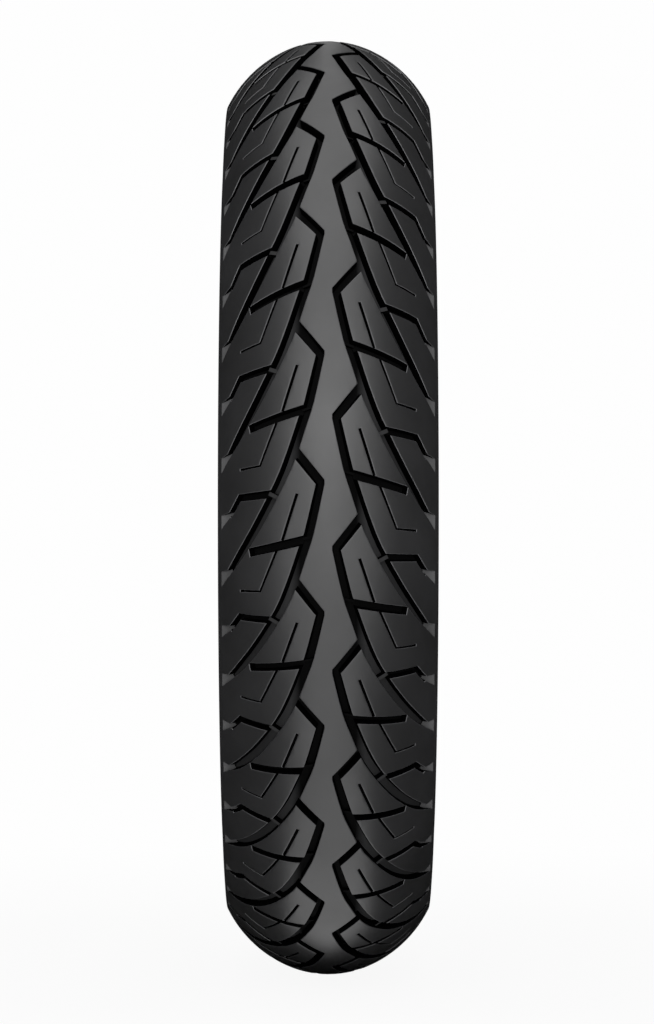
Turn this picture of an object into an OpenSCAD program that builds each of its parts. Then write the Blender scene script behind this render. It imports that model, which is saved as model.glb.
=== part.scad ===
// Tubeless motorcycle tire of bias-belted build, shown as its separate layers.
// The wheel axis lies along Y and the middle of the tire is at the origin.
// Sections are drawn in a plane of [width, radius] and turned round the axis.

/* [Overall size] */
// Diameter of the rim's bead seats
rim_d = 405.6; // [386:0.1:458]
// Height of the tire's section, from the bead seats to the middle of the tread
section_h = 126.2; // [115:0.1:138]
// Width between the rim's flanges
rim_w = 88.9; // [87:0.1:91]
// How far each sidewall bulges out past the edge of the tread
side_bulge = 0.9; // [0.6:0.1:1.6]

/* [Tread profile] */
// Radius of the arc over the middle of the tread
crown_r = 71.5; // [70.5:0.5:73]
// Slope of the tread where the middle arc ends
crown_angle = 23; // [20:1:26]
// Radius of the arc towards each edge of the tread
shoulder_r = 84; // [82:0.5:86]
// Slope of the tread at its edge
edge_angle = 63.5; // [62:0.5:65]
// Rounding of the tread's edge
edge_round = 2.4; // [1.5:0.1:3]

/* [Grooves] */
// Number of pattern repeats round the tire
pitch_count = 25; // [23:1:28]
// Relative lengths of a short, a middling and a long half repeat
half_pitch_lengths = [0.94, 1.02, 1.065];
// Depth of the grooves at the middle of the tread
groove_depth = 6.8; // [5.5:0.1:7.5]
// Depth of the grooves at the edges of the tread
edge_groove_depth = 4.4; // [3.5:0.1:5]
// Width of the zigzag groove near the middle
chevron_w = 6.1; // [5:0.1:6.8]
// Width of the long groove where it sweeps to the shoulder
sweep_w = 7; // [6.4:0.1:7.8]
// Width of the cross groove that leaves the zigzag
branch_w = 5.8; // [5.2:0.1:6.4]
// Width of the shoulder cross groove
shoulder_groove_w = 5.3; // [4.4:0.1:6]
// Width of the fine sipes
sipe_w = 1.7; // [1.2:0.1:2.2]
// Depth of the fine sipes
sipe_depth = 4; // [3:0.5:5]
// Length of the tie bar between the long groove's sweep and its shoulder end
tie_bar_l = 2.4; // [1.6:0.1:3.4]

/* [Layers] */
// Tread rubber left under the grooves
cap_under = 1.1; // [0.8:0.1:1.8]
// Thickness of the base rubber under the tread cap
base_t = 1.7; // [1.4:0.1:2.2]
// Thickness of one breaker ply
breaker_t = 1.2; // [1:0.1:1.4]
// Thickness of one carcass ply
ply_t = 0.9; // [0.7:0.1:1]
// Thickness of the inner liner
liner_t = 1.2; // [0.9:0.1:1.4]
// Rubber between the carcass and the tread's surface where the crown ends
shoulder_t = 9.9; // [9:0.1:11]
// Thickness of the sidewall rubber at its widest point
sidewall_t = 5; // [4.4:0.1:5.6]
// Thickness of the chafer strip on the bead
chafer_t = 0.7; // [0.5:0.1:0.9]
// Thickness of the wrap round the bead core
wrap_t = 0.6; // [0.4:0.1:0.8]
// Slope of the tread where that thickness is taken
shoulder_turn = 57; // [55:1:59]

/* [Beads] */
// Thickness of the bead filler's thin upper end between ply and turn-up
filler_tip_t = 0.4; // [0.3:0.1:0.6]
// Straight stretch of the carcass between the bead core and the curve of the sidewall
bead_leg = 14.8; // [12:0.2:17]
// How far the chafer reaches up the outside of the bead
chafer_up = 18; // [14:0.5:22]
// How far the wrap's outer edge reaches up beside the bead filler
wrap_outer_up = 10; // [7:0.5:13]
// How far the wrap's inner edge reaches up beside the bead filler
wrap_inner_up = 8; // [6:0.5:11]
// Rounding of the bead's toe
toe_r = 2; // [1.4:0.1:2.4]
// Diameter of one bead wire
wire_d = 1.1; // [0.9:0.05:1.2]
// Space between neighbouring bead wires
wire_gap = 0.15; // [0.1:0.05:0.2]
// Wires along each side of the bead core
wires_per_side = 4; // [3:1:4]
// Rubber round the outermost bead wires
core_cover = 0.4; // [0.3:0.1:0.6]
// Rubber under the bead core down to the bead seat
seat_rubber = 2.2; // [1.8:0.1:2.8]
// Rubber between the bead and the rim's flange
flange_rubber = 3.4; // [3:0.1:4]
// Height of the rim's flange above the bead seat
flange_h = 14.2; // [13:0.2:15]
// Radius of the rim flange's rounded lip
flange_lip_r = 7.5; // [7:0.1:8]
// How far the sidewall's lower edge lies out past the middle of the flange's lip
rim_line_out = 4.5; // [3.8:0.1:5.2]
// How far the sidewall's lower edge lies above the flange's lip
rim_line_up = 3; // [2.4:0.1:3.6]
// Rounding of the bead's heel
heel_r = 6; // [5:0.5:6.5]
// Width of the flat bead seat
seat_w = 11.4; // [10:0.2:12.4]
// Where the outer ply's turned-up edge ends on the sidewall (90 is the widest point)
high_turn_up = 84; // [80:1:88]
// Where the inner ply's turned-up edge ends on the sidewall
low_turn_up = 96; // [92:1:104]

/* [Sidewall] */
// Height of the thin ribs on the sidewalls
rib_h = 0.9; // [0.5:0.1:1.4]
// Width of the thin ribs on the sidewalls
rib_w = 1.6; // [1:0.1:2.4]

/* [Hidden] */

TREAD_RUBBER = "#2e2e30";
SIDE_RUBBER = "#242426";
PLY = "#b9ad93";
BREAKER = "#c9b45e";
STEEL = "#c8a878";

LEFT = -1;
RIGHT = 1;

// Steps along the arcs of a section
crown_steps = 20;
core_steps = 16;

function degrees(a) = a * 180 / PI;
function on_arc(centre, r, a) = centre + r * [sin(a), cos(a)];
function arc(centre, r, a, b, n) = [for (i = [0:n]) on_arc(centre, r, a + (b - a) * i / n)];
function backwards(list) = [for (i = [len(list) - 1:-1:0]) list[i]];
function without_first(list) = [for (i = [1:len(list) - 1]) list[i]];
function swapped(list) = [for (p = list) [-p[0], p[1]]];
function total(list, n) = n <= 0 ? 0 : list[n - 1] + total(list, n - 1);

// Tread surface: a middle arc and a flatter arc down to each edge, as [width, radius]
seat_r = rim_d / 2;
outer_r = seat_r + section_h;
crown_c = [0, outer_r - crown_r];
shoulder_c = on_arc(crown_c, crown_r - shoulder_r, crown_angle);
crown_len = crown_r * crown_angle * PI / 180;
edge_len = crown_len + shoulder_r * (edge_angle - crown_angle) * PI / 180;
edge_c = on_arc(shoulder_c, shoulder_r - edge_round, edge_angle);
tread_end = on_arc(edge_c, edge_round, 90);

// A point s along the tread from its middle line, depth below the surface
function slope_at(s) =
    s < crown_len ? degrees(s / crown_r) : crown_angle + degrees((s - crown_len) / shoulder_r);
function tread_point(s, depth) =
    s < crown_len ? on_arc(crown_c, crown_r - depth, slope_at(s))
                  : on_arc(shoulder_c, shoulder_r - depth, slope_at(s));

section_half = tread_end[0] + side_bulge;

// Carcass crown: one arc set by the layers over it at the middle and at the shoulder
cap_t = groove_depth + cap_under;
belt_t = 2 * breaker_t;
carcass_top = outer_r - cap_t - base_t - belt_t;
shoulder_q = on_arc(shoulder_c, shoulder_r - shoulder_t, shoulder_turn);
shoulder_drop = carcass_top - shoulder_q[1];
carcass_r = (pow(shoulder_q[0], 2) + pow(shoulder_drop, 2)) / (2 * shoulder_drop);
carcass_c = [0, carcass_top - carcass_r];

// Bead core, and the wrap and plies that turn round it
plies_t = 2 * ply_t;
wire_pitch = wire_d + wire_gap;
core_r = (wires_per_side - 1) / 2 * wire_pitch * sqrt(2) + wire_d / 2 + core_cover;
wrap_r = core_r + wrap_t;
turned_r = wrap_r + plies_t;
bead_c = [
    rim_w / 2 - flange_rubber - chafer_t - turned_r,
    seat_r + seat_rubber + chafer_t + turned_r,
];

// Carcass sidewall: an arc of radius r that leaves the crown arc smoothly, reaches the widest
// point and runs straight on to the bead core. Its radius is found by halving.
side_reach = section_half - sidewall_t - plies_t;
function crown_turn_of(r) = asin((side_reach - r) / (carcass_r - r));
function side_c_of(r) = on_arc(carcass_c, carcass_r - r, crown_turn_of(r));
function leg_of(r) =
    let (far = norm(bead_c - side_c_of(r)))
    far * far - (r + wrap_r) * (r + wrap_r);
function side_radius(low, high, halvings = 30) =
    let (r = (low + high) / 2)
    halvings == 0 ? r
    : leg_of(r) > bead_leg * bead_leg ? side_radius(r, high, halvings - 1)
    : side_radius(low, r, halvings - 1);
carcass_side_r = side_radius(side_reach / 4, side_reach);
crown_turn = crown_turn_of(carcass_side_r);
side_c = side_c_of(carcass_side_r);
bead_offset = bead_c - side_c;
bead_far = norm(bead_offset);
bead_bearing = atan2(bead_offset[0], bead_offset[1]);
inner_turn = bead_bearing - acos((carcass_side_r + wrap_r) / bead_far);
outer_turn = bead_bearing - acos((carcass_side_r - wrap_r) / bead_far);
turn_sweep = 180 + inner_turn - outer_turn;
inner_leg = [-cos(inner_turn), sin(inner_turn)];
outer_run = on_arc(side_c, carcass_side_r + filler_tip_t, outer_turn)
    - on_arc(bead_c, wrap_r, outer_turn);
outer_leg = outer_run / norm(outer_run);

// Outside of the sidewall, down to the rim line over the flange's lip
widest_r = side_c[1];
lip_c = [rim_w / 2 + flange_lip_r, seat_r + flange_h - flange_lip_r];
rim_line = lip_c + [rim_line_out, flange_lip_r + rim_line_up];
upper_rise = tread_end[1] - widest_r;
upper_r = (upper_rise * upper_rise + side_bulge * side_bulge) / (2 * side_bulge);
upper_c = [section_half - upper_r, widest_r];
lower_run = [section_half - rim_line[0], widest_r - rim_line[1]];
lower_r = (lower_run * lower_run) / (2 * lower_run[0]);
lower_c = [section_half - lower_r, widest_r];

// Angles along the sidewall arc, with the ends of both turned-up plies among them
function steps(a, b, n) = [for (i = [1:n]) a + (b - a) * i / n];
// Share of the way from the crown to the high turn-up where the tread's base and wing end
foot_share = 0.62;
foot_turn = crown_turn + foot_share * (high_turn_up - crown_turn);
above_foot = steps(crown_turn, foot_turn, 3);
below_foot = steps(foot_turn, high_turn_up, 3);
beside_high = steps(high_turn_up, low_turn_up, 3);
beside_low = steps(low_turn_up, outer_turn, 6);
beside_filler = steps(outer_turn, inner_turn, 4);

// Paths at a distance d inside the carcass' outer face
function crown_path(d, a = 0, b = crown_steps) =
    [for (i = [a:b]) on_arc(carcass_c, carcass_r - d, crown_turn * i / crown_steps)];
function side_path(d, angles) = [for (a = angles) on_arc(side_c, carcass_side_r - d, a)];
function core_path(d, a = 0, b = core_steps) =
    [for (i = [a:b]) on_arc(bead_c, wrap_r + d, inner_turn - 180 - turn_sweep * i / core_steps)];
function main_path(d) = concat(
    crown_path(d),
    side_path(d, concat(above_foot, below_foot, beside_high, beside_low, beside_filler))
);
function inner_leg_at(d, up) = on_arc(bead_c, wrap_r + d, inner_turn - 180) + up * inner_leg;
function outer_leg_at(d, up) = on_arc(bead_c, wrap_r + d, outer_turn) + up * outer_leg;
// Turned-up plies stand off the main plies by the bead filler's thin end
function turned_up(d, angles) = side_path(-d - filler_tip_t, angles);
up_to_low = concat(backwards(beside_low), [low_turn_up]);
up_from_low = concat(backwards(beside_high), [high_turn_up]);
up_to_high = concat(backwards(beside_low), up_from_low);

// Tread pattern: half repeats of varied length, on each side by turns
half_pitch_order = [
    1, 3, 3, 3, 3, 3, 3, 2, 2, 2, 2, 1, 1, 1, 1, 1, 2, 3, 1, 1, 2, 1, 1, 2, 3,
    2, 1, 1, 2, 3, 3, 2, 1, 1, 2, 1, 2, 3, 2, 1, 1, 2, 3, 1, 1, 2, 3, 2, 1, 3,
];
half_count = 2 * pitch_count;
half_lengths = [
    for (i = [0:half_count - 1]) half_pitch_lengths[half_pitch_order[i % len(half_pitch_order)] - 1]
];
half_total = total(half_lengths, half_count);
starts = [for (i = [0:half_count]) 360 * total(half_lengths, i) / half_total];
function start_of(i) = 360 * floor(i / half_count) + starts[i - half_count * floor(i / half_count)];
// Angle above the horizontal of a place t repeats on from the start of half repeat i
function angle_of(i, t) =
    let (k = i + 2 * floor(t), a = start_of(k))
    first_start - a - (t - floor(t)) * (start_of(k + 2) - a);

function depth_at(s) =
    let (share = min(1, max(0, (s - fade_from) / (fade_to - fade_from))))
    groove_depth + share * (edge_groove_depth - groove_depth);
function repeat_len(s) = 2 * PI * tread_point(s, 0)[1] / pitch_count;
function place(i, s, t, depth) =
    let (p = tread_point(s, depth), a = angle_of(i, t))
    [p[1] * cos(a), (i % 2 == 0 ? RIGHT : LEFT) * p[0], p[1] * sin(a)];

// Unit vector out of the tread at that place, and one that points to the side of the tire
function side_of(i) = i % 2 == 0 ? RIGHT : LEFT;
function outward(i, s, t) =
    let (slope = slope_at(s), a = angle_of(i, t))
    [cos(slope) * cos(a), side_of(i) * sin(slope), cos(slope) * sin(a)];
function sideward(i, s, t) =
    let (slope = slope_at(s), a = angle_of(i, t))
    [-sin(slope) * cos(a), side_of(i) * cos(slope), -sin(slope) * sin(a)];

// The pattern is drawn on a tread of this half width, and spread over the real one
drawn_half = 88;
spread = edge_len / drawn_half;
function spread_out(path) = [for (p = path) [p[0] * spread, p[1], p[2]]];

// Direction of a groove's middle line at point j, from its neighbours
function heading(path, j) =
    let (
        a = path[max(0, j - 1)],
        b = path[min(len(path) - 1, j + 1)],
        run = [b[0] - a[0], (b[1] - a[1]) * repeat_len(path[j][0])]
    )
    run / norm(run);
// One edge of a groove: its middle line moved across by half its width to either hand
function edge(i, path, hand) = [
    for (j = [0:len(path) - 1])
        let (p = path[j], way = heading(path, j), off = hand * p[2] / 2)
        place(i, p[0] + off * way[1], p[1] - off * way[0] / repeat_len(p[0]), 0)
];

// Removes everything over a flat floor at a point, within an outline that stands square to it
module cut(floor_at, up, along, outline, height) {
    across = cross(up, along);
    multmatrix([for (k = [0:2]) [along[k], across[k], up[k], floor_at[k]]])
        linear_extrude(height)
            polygon([for (p = outline) [(p - floor_at) * along, (p - floor_at) * across]]);
}

// One groove of half repeat i, along points of [from the middle line, repeats, width]
module groove(i, drawn_path, depth = 0) {
    path = spread_out(drawn_path);
    middle = (path[0] + path[len(path) - 1]) / 2;
    deep = depth > 0 ? depth : depth_at(middle[0]);
    cut(
        place(i, middle[0], middle[1], deep), outward(i, middle[0], middle[1]),
        sideward(i, middle[0], middle[1]),
        concat(edge(i, path, LEFT), backwards(edge(i, path, RIGHT))), deep + groove_lift
    );
}

// Place of the first half repeat, above the horizontal
first_start = 70.96;
// How far groove tools reach above the tread
groove_lift = 1;
// Stretch of the tread over which the grooves get shallower
fade_from = 20 * spread;
fade_to = 75 * spread;

// Points of each groove: [from the middle line, repeats, width]
chevron = [
    [21.2, -0.222, chevron_w],
    [5.3, 0.003, 0.92 * chevron_w],
    [13.8, 0.435, chevron_w],
];
// The tie bar's middle, and half its length, in repeats
tie_bar_at = 1.113;
tie_bar_half = tie_bar_l / 2 / repeat_len(37);
sweep = [
    [12.6, 0.4, chevron_w],
    [18.2, 0.58, sweep_w],
    [28.2, 0.9, sweep_w],
    [37.2, tie_bar_at - tie_bar_half, sweep_w],
];
sweep_end = [
    [37.4, tie_bar_at + tie_bar_half, sweep_w],
    [46.8, 1.3, sweep_w],
    [57.6, 1.486, sweep_w],
];
tail = [
    [56.2, 1.463, sweep_w],
    [65.4, 1.605, 0.95 * sweep_w],
    [75.6, 1.748, 0.8 * sweep_w],
];
branch = [
    [14.4, 0.44, branch_w],
    [35.6, 0.5, branch_w],
];
branch_end = [
    [34.4, 0.4965, branch_w],
    [55.4, 0.56, branch_w],
];
shoulder_groove = [
    [38.2, 0.0905, shoulder_groove_w],
    [64.8, 0.118, shoulder_groove_w],
    [70.2, 0.203, 0.8 * shoulder_groove_w],
    [75, 0.262, 0.8 * shoulder_groove_w],
];
middle_sipe = [
    [20.2, 0.09, sipe_w],
    [30.8, 0.46, sipe_w],
];
bent_sipe = [
    [34.2, 0.52, sipe_w],
    [46.9, 0.867, sipe_w],
    [64, 0.886, sipe_w],
];
// Where the long groove and the shoulder groove ramp out towards the tread's edge
run_outs = [0.762, 0.272];
run_out_from = 74.4 * spread;
run_out_to = 85 * spread;
// Repeats by which each ramp widens ahead of and behind the groove's middle line
run_out_rise = 0.04;
run_out_fall = 0.115;

// A three-cornered ramp from the groove's floor up to the edge of the tread
module run_out(i, t) {
    deep = place(i, run_out_from, t, depth_at(run_out_from));
    corner = place(i, run_out_to, t, 0);
    foot = place(i, run_out_to, t + run_out_fall, 0);
    rise = corner - deep;
    flat = cross(rise, foot - deep);
    up = flat / norm(flat) * sign(flat * outward(i, run_out_to, t));
    outline = [
        place(i, run_out_from, t - run_out_rise, 0), corner, foot, place(i, run_out_from, t, 0),
    ];
    cut(deep, up, rise / norm(rise), outline, groove_depth);
}

module half_repeat(i) {
    groove(i, chevron);
    groove(i, sweep);
    groove(i, sweep_end);
    groove(i, tail);
    groove(i, branch);
    groove(i, branch_end);
    groove(i, shoulder_groove);
    groove(i, middle_sipe, sipe_depth);
    groove(i, bent_sipe, sipe_depth);
    for (t = run_outs)
        run_out(i, t);
}

// Turns a flat section, drawn with the radius along X and the width along Y, round the wheel axis
module turn() {
    rotate([-90, 0, 0])
        rotate_extrude($fn = 180)
            children();
}
module section(points) {
    polygon([for (p = points) [p[1], p[0]]]);
}
// The same for a piece that lies on one side of the tire
module section_on(side, points) {
    section(side == RIGHT ? points : swapped(points));
}
// A layer from the middle to both sides, between an outer and an inner path
function layer(outer, inner) = concat(
    outer, backwards(inner), without_first(swapped(inner)), backwards(without_first(swapped(outer)))
);

// The places where layers end, in steps along the crown
outer_breaker_end = 16;
inner_breaker_end = 18;
shoulder_foot = on_arc(side_c, carcass_side_r, foot_turn);
// A face that tapers along the crown: [step, share of the thickness t left there]
function tapered(t, shares) = [
    for (k = shares) on_arc(carcass_c, carcass_r + k[1] * t, crown_turn * k[0] / crown_steps)
];
strip_face = tapered(belt_t, [[16, 1], [17, 0.84], [18, 0.64], [19, 0.3], [20, 0]]);
under_cap = belt_t + base_t;
under_cap_at_side = 0.35 * under_cap;
base_face = concat(
    tapered(under_cap, [[0, 1], [4, 1], [8, 1], [12, 1], [16, 0.95], [20, 0.72]]),
    side_path(-under_cap_at_side, [above_foot[1]]),
    [shoulder_foot]
);
tread_face = concat(
    arc(crown_c, crown_r, 0, crown_angle, 2),
    without_first(arc(shoulder_c, shoulder_r, crown_angle, edge_angle, 4)),
    without_first(arc(edge_c, edge_round, edge_angle, 90, 2))
);
// The wing's foot lies this share of the way up from the widest point to the tread's edge
wing_share = 0.62;
wing_foot_angle = 90 - wing_share * asin(upper_rise / upper_r);
wing_foot = on_arc(upper_c, upper_r, wing_foot_angle);
rim_line_angle = 90 + asin(lower_run[1] / lower_r);

// A thin rib across the lower arc of the sidewall, narrower at its top, at an angle
rib_top = 0.6;
function rib(a) =
    let (half = degrees(rib_w / 2 / lower_r), top = rib_top * half)
    [
        on_arc(lower_c, lower_r, a - half), on_arc(lower_c, lower_r + rib_h, a - top),
        on_arc(lower_c, lower_r + rib_h, a + top), on_arc(lower_c, lower_r, a + half),
    ];
// Ribs stand at these shares of the way from the widest point down to the rim line
rib_angles = [for (k = [0.14, 0.26, 0.86]) 90 + k * (rim_line_angle - 90)];
// Turn between a rib and the next point of the sidewall's arc
rib_clear = 4;
flank = concat(
    arc(upper_c, upper_r, wing_foot_angle, 90, 3),
    rib(rib_angles[0]),
    rib(rib_angles[1]),
    arc(lower_c, lower_r, rib_angles[1] + rib_clear, rib_angles[2] - rib_clear, 4),
    rib(rib_angles[2]),
    [rim_line]
);

// Bead seat, heel and flange face
seat_end = rim_w / 2 - heel_r;
seat_start = [seat_end - seat_w, seat_r];
heel_c = [seat_end, seat_r + heel_r];
toe_c = [seat_start[0], seat_r + toe_r];
chafed_t = plies_t + chafer_t;
lined_t = plies_t + liner_t;
// Step along the bead core at which the rim strip meets the toe strip
toe_step = 8;
// The toe strip gets thicker by this much at each step along its inner face
toe_swell = 0.25;
toe_face = [
    for (i = [1:3])
        on_arc(bead_c, wrap_r + lined_t + toe_swell * i, inner_turn - 180 - turn_sweep * i / core_steps)
];

// Round bead core, and the places of its wires
core_top = arc(bead_c, core_r, outer_turn, inner_turn - 180, core_steps);
wire_places = [
    for (i = [1:wires_per_side], j = [1:wires_per_side])
        bead_c + wire_pitch * ([i, j] - [1, 1] * (wires_per_side + 1) / 2)
];
module wires(side) {
    for (p = wire_places)
        translate([p[1], side * p[0]])
            circle(d = wire_d, $fn = 20);
}

module tread_cap() {
    color(TREAD_RUBBER)
        difference() {
            turn()
                section(layer(tread_face, base_face));
            for (i = [0:half_count - 1])
                half_repeat(i);
        }
}

module tread_base() {
    color(SIDE_RUBBER)
        turn()
            section(layer(base_face, concat(
                crown_path(-belt_t, 0, outer_breaker_end),
                without_first(strip_face),
                side_path(0, above_foot)
            )));
}

module outer_breaker_ply() {
    color(BREAKER)
        turn()
            section(layer(
                crown_path(-belt_t, 0, outer_breaker_end), crown_path(-breaker_t, 0, outer_breaker_end)
            ));
}

module inner_breaker_ply() {
    color(BREAKER)
        turn()
            section(layer(
                crown_path(-breaker_t, 0, inner_breaker_end), crown_path(0, 0, inner_breaker_end)
            ));
}

module breaker_edge_strip(side) {
    color(SIDE_RUBBER)
        turn()
            section_on(side, concat(
                strip_face,
                without_first(backwards(crown_path(0, inner_breaker_end))),
                backwards(crown_path(-breaker_t, outer_breaker_end, inner_breaker_end))
            ));
}

module outer_carcass_ply() {
    color(PLY)
        turn()
            section(layer(
                concat(main_path(0), core_path(0), turned_up(0, up_to_high)),
                concat(main_path(ply_t), core_path(ply_t), turned_up(ply_t, up_to_high))
            ));
}

module inner_carcass_ply() {
    color(PLY)
        turn()
            section(layer(
                concat(main_path(ply_t), core_path(ply_t), turned_up(ply_t, up_to_low)),
                concat(main_path(plies_t), core_path(plies_t), turned_up(plies_t, up_to_low))
            ));
}

module inner_liner() {
    color(SIDE_RUBBER)
        turn()
            section(layer(
                concat(main_path(plies_t), [inner_leg_at(plies_t, 0)]),
                concat(main_path(lined_t), [inner_leg_at(lined_t, 0)])
            ));
}

module tread_wing(side) {
    color(SIDE_RUBBER)
        turn()
            section_on(side, [tread_end, wing_foot, shoulder_foot]);
}

module sidewall(side) {
    color(SIDE_RUBBER)
        turn()
            section_on(side, concat(
                flank,
                [outer_leg_at(chafed_t, chafer_up), outer_leg_at(plies_t, chafer_up)],
                turned_up(plies_t, up_to_low),
                turned_up(ply_t, concat([low_turn_up], without_first(up_from_low))),
                side_path(0, backwards(below_foot)), [shoulder_foot]
            ));
}

module rim_strip(side) {
    color(SIDE_RUBBER)
        turn()
            section_on(side, concat(
                [seat_start],
                arc(heel_c, heel_r, 180, 90, 5),
                arc(lip_c, flange_lip_r, -90, 0, 5),
                [rim_line, outer_leg_at(chafed_t, chafer_up)],
                backwards(core_path(chafed_t, toe_step))
            ));
}

module toe_strip(side) {
    color(SIDE_RUBBER)
        turn()
            section_on(side, concat(
                [inner_leg_at(lined_t, 0)],
                toe_face,
                arc(toe_c, toe_r, 270, 180, 3),
                backwards(core_path(chafed_t, 0, toe_step))
            ));
}

module chafer(side) {
    color(PLY)
        turn()
            section_on(side, concat(
                core_path(plies_t),
                [outer_leg_at(plies_t, chafer_up), outer_leg_at(chafed_t, chafer_up)],
                backwards(core_path(chafed_t))
            ));
}

module bead_filler(side) {
    color(TREAD_RUBBER)
        turn()
            section_on(side, concat(
                [inner_leg_at(-wrap_t, wrap_inner_up), inner_leg_at(0, wrap_inner_up)],
                side_path(0, concat(backwards(beside_filler), up_to_high)),
                turned_up(0, backwards(up_to_high)),
                [outer_leg_at(0, wrap_outer_up), outer_leg_at(-wrap_t, wrap_outer_up)],
                core_top
            ));
}

module bead_wrap(side) {
    color(PLY)
        turn()
            section_on(side, concat(
                [inner_leg_at(0, wrap_inner_up)], core_path(0),
                [outer_leg_at(0, wrap_outer_up), outer_leg_at(-wrap_t, wrap_outer_up)],
                backwards(core_path(-wrap_t)), [inner_leg_at(-wrap_t, wrap_inner_up)]
            ));
}

module bead_insulation(side) {
    color(TREAD_RUBBER)
        turn()
            difference() {
                section_on(side, concat(
                    core_path(-wrap_t), [for (k = [1:core_steps - 1]) core_top[k]]
                ));
                wires(side);
            }
}

module bead_wires(side) {
    color(STEEL)
        turn()
            wires(side);
}

tread_cap();
tread_base();
outer_breaker_ply();
inner_breaker_ply();
outer_carcass_ply();
inner_carcass_ply();
inner_liner();
breaker_edge_strip(LEFT);  // breaker_edge_strip_left
breaker_edge_strip(RIGHT);  // breaker_edge_strip_right
tread_wing(LEFT);  // tread_wing_left
tread_wing(RIGHT);  // tread_wing_right
sidewall(LEFT);  // sidewall_left
sidewall(RIGHT);  // sidewall_right
rim_strip(LEFT);  // rim_strip_left
rim_strip(RIGHT);  // rim_strip_right
toe_strip(LEFT);  // toe_strip_left
toe_strip(RIGHT);  // toe_strip_right
chafer(LEFT);  // chafer_left
chafer(RIGHT);  // chafer_right
bead_filler(LEFT);  // bead_filler_left
bead_filler(RIGHT);  // bead_filler_right
bead_wrap(LEFT);  // bead_wrap_left
bead_wrap(RIGHT);  // bead_wrap_right
bead_insulation(LEFT);  // bead_insulation_left
bead_insulation(RIGHT);  // bead_insulation_right
bead_wires(LEFT);  // bead_wires_left
bead_wires(RIGHT);  // bead_wires_right
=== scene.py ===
import math

import bmesh
import bpy
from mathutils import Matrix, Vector


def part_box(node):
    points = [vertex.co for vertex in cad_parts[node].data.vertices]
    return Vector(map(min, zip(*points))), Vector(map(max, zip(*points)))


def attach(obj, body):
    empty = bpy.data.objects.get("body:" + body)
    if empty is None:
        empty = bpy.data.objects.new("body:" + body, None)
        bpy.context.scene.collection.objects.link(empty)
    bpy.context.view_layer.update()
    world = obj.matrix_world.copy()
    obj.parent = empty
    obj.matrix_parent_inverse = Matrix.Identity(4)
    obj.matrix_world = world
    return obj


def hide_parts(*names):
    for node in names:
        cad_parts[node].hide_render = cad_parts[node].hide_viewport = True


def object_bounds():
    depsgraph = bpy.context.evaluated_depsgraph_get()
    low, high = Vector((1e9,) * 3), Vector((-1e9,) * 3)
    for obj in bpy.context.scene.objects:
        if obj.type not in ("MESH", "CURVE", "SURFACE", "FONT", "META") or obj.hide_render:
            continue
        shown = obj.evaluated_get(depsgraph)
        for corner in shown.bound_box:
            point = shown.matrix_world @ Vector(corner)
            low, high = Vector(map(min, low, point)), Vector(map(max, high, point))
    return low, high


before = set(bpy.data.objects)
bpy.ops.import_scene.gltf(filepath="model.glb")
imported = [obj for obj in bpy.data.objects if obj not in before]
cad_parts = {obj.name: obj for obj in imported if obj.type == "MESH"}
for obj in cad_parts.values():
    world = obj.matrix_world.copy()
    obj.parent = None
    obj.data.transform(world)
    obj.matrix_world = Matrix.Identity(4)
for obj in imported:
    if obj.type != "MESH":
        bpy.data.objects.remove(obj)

bl_info = {
    "name": "Motorcycle tire",
    "version": (1, 0, 0),
    "blender": (4, 5, 0),
    "location": "3D View > Sidebar > Tire",
    "description": "Patterned tread, sidewalls, beads, liner and stage of a motorcycle tire",
    "category": "Object",
}

MM = 0.001
CAD_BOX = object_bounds()
OUTER_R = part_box("tread_cap")[1].x / MM
SIDES = ("left", "right")

# The half repeats of the pattern come in three lengths, and go round the tire in this order
# from the turn at which the first one starts
HALF_PITCHES = [0.94, 1.02, 1.065]
PITCH_ORDER = [
    1, 3, 3, 3, 3, 3, 3, 2, 2, 2, 2, 1, 1, 1, 1, 1, 2, 3, 1, 1, 2, 1, 1, 2, 3,
    2, 1, 1, 2, 3, 3, 2, 1, 1, 2, 1, 2, 3, 2, 1, 1, 2, 3, 1, 1, 2, 3, 2, 1, 3,
]
FIRST_START = math.radians(70.96)

# The slab that one repeat is cut from, and where its shoulder ramps begin, in millimetres
SLAB_DEPTH = 14.0
SPARE_REPEATS = 0.12
RAMPS_FROM = 74


def length(name, description, default):
    return bpy.props.FloatProperty(
        name=name, description=description, default=default, precision=5, unit="LENGTH"
    )


def slope(name, description, degrees):
    return bpy.props.FloatProperty(
        name=name, description=description, default=math.radians(degrees), unit="ROTATION"
    )


def colour(name, description, default):
    return bpy.props.FloatVectorProperty(
        name=name, description=description, default=default, size=3, min=0, max=1, subtype="COLOR"
    )


class TireSizes(bpy.types.PropertyGroup):
    """Sizes of the tread's surface and of the fine shapes on the tire"""

    crown_radius: length("Crown radius", "Radius of the arc over the tread's middle", 0.0715)
    crown_slope: slope("Crown slope", "Slope of the tread where the middle arc ends", 23)
    shoulder_radius: length("Shoulder radius", "Radius of the arc to the tread's edge", 0.084)
    edge_slope: slope("Edge slope", "Slope of the tread at its edge", 63.5)
    edge_rounding: length("Edge rounding", "Rounding of the tread's edge", 0.0024)
    groove_depth: length("Groove depth", "Depth of the grooves at the tread's middle", 0.0068)
    edge_groove_depth: length("Edge depth", "Depth of the grooves at the tread's edge", 0.0044)
    sipe_depth: length("Sipe depth", "Depth of the fine sipes", 0.004)
    groove_draft: length("Groove draft", "How far a groove's walls lean in to its floor", 0.0008)
    block_rounding: length("Block rounding", "Rounding of the edges of the blocks", 0.00055)
    rib_rounding: length("Rib rounding", "Rounding of the ribs on the sidewalls", 0.0003)


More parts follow.
